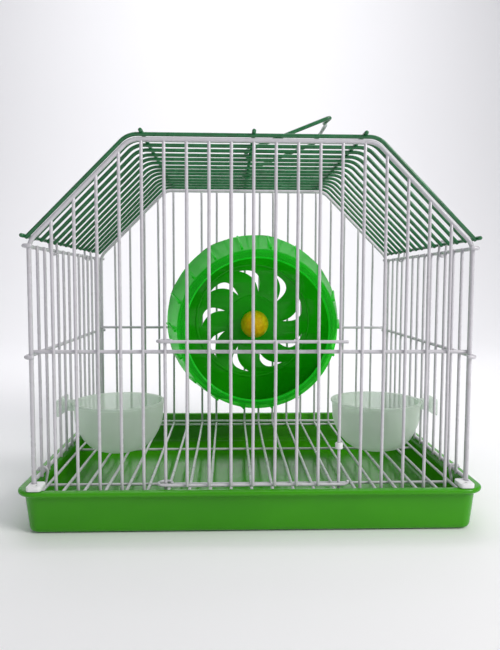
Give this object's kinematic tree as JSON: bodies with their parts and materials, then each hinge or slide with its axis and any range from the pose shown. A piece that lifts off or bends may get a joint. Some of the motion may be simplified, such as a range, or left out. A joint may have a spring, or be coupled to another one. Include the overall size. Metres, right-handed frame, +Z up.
{
  "type": "hamster cage",
  "caption": "Small wire pet cage on a moulded tray, with a bent roof grille, carry handle, hinged front door, exercise wheel and two hung bowls.",
  "frame": {"origin": "middle of the tray's flat underside", "axes": "+Z up, -Y out of the front with the door, +X to the right as seen from the front"},
  "size_m": [0.274, 0.2106, 0.2562],
  "materials": {
    "white_wire": "off-white plastic coat on steel wire",
    "green_wire": "dark green plastic coat on steel wire",
    "tray_plastic": "satin moulded green",
    "deep_green_plastic": "glossy moulded deep green",
    "clear_green_plastic": "clear green, moulded",
    "frosted_plastic": "frosted, slightly see-through",
    "yellow_plastic": "glossy yellow",
    "white_plastic": "satin white",
    "steel": "zinc plated rod"
  },
  "bodies": {
    "tray": {"tray": "tray_plastic"},
    "cage": {"front_panel": "white_wire", "back_panel": "white_wire", "side_panel_left": "white_wire", "side_panel_right": "white_wire", "roof_panel": "green_wire", "floor_grid": "white_wire", "roof_hook_front_left": "white_wire", "roof_hook_front_right": "white_wire", "roof_hook_back_left": "white_wire", "roof_hook_back_right": "white_wire", "foot_front_left": "white_plastic", "foot_front_right": "white_plastic", "foot_back_left": "white_plastic", "foot_back_right": "white_plastic", "wheel_bracket": "deep_green_plastic", "wheel_nut": "deep_green_plastic", "wheel_axle": "steel"},
    "wheel": {"wheel_disc": "deep_green_plastic", "wheel_drum": "clear_green_plastic", "hub_cap": "yellow_plastic"},
    "door": {"front_door": "white_wire"},
    "latch": {"door_latch_ring": "white_plastic"},
    "handle": {"carry_handle": "green_wire"},
    "left_bowl": {"bowl_left": "frosted_plastic"},
    "right_bowl": {"bowl_right": "frosted_plastic"}
  },
  "joints": [
    {"name": "cage_lift", "type": "slide", "parent": "tray", "child": "cage", "axis": [0, 0, 1], "range_m": [0, 0.06]},
    {"name": "wheel_spin", "type": "hinge", "parent": "cage", "child": "wheel", "pos_m": [0.00671, 0.07795, 0.11232], "axis": [0.0279, -0.9977, -0.061], "continuous": true},
    {"name": "door_swing", "type": "hinge", "parent": "cage", "child": "door", "pos_m": [-0.0508, -0.096, 0.0277], "axis": [0, 0, -1], "range_deg": [0, 120]},
    {"name": "latch_slide", "type": "slide", "parent": "cage", "child": "latch", "axis": [0, 0, 1], "range_m": [-0.018, 0.045]},
    {"name": "handle_swing", "type": "hinge", "parent": "cage", "child": "handle", "pos_m": [0, 0, 0.2305], "axis": [0, -1, 0], "range_deg": [-21, 150]},
    {"name": "left_bowl_twist", "type": "hinge", "parent": "cage", "child": "left_bowl", "pos_m": [-0.13, -0.01408, 0.058], "axis": [-1, 0, 0], "range_deg": [0, 90]},
    {"name": "right_bowl_twist", "type": "hinge", "parent": "cage", "child": "right_bowl", "pos_m": [0.13, -0.01408, 0.058], "axis": [-1, 0, 0], "range_deg": [0, 90]}
  ]
}
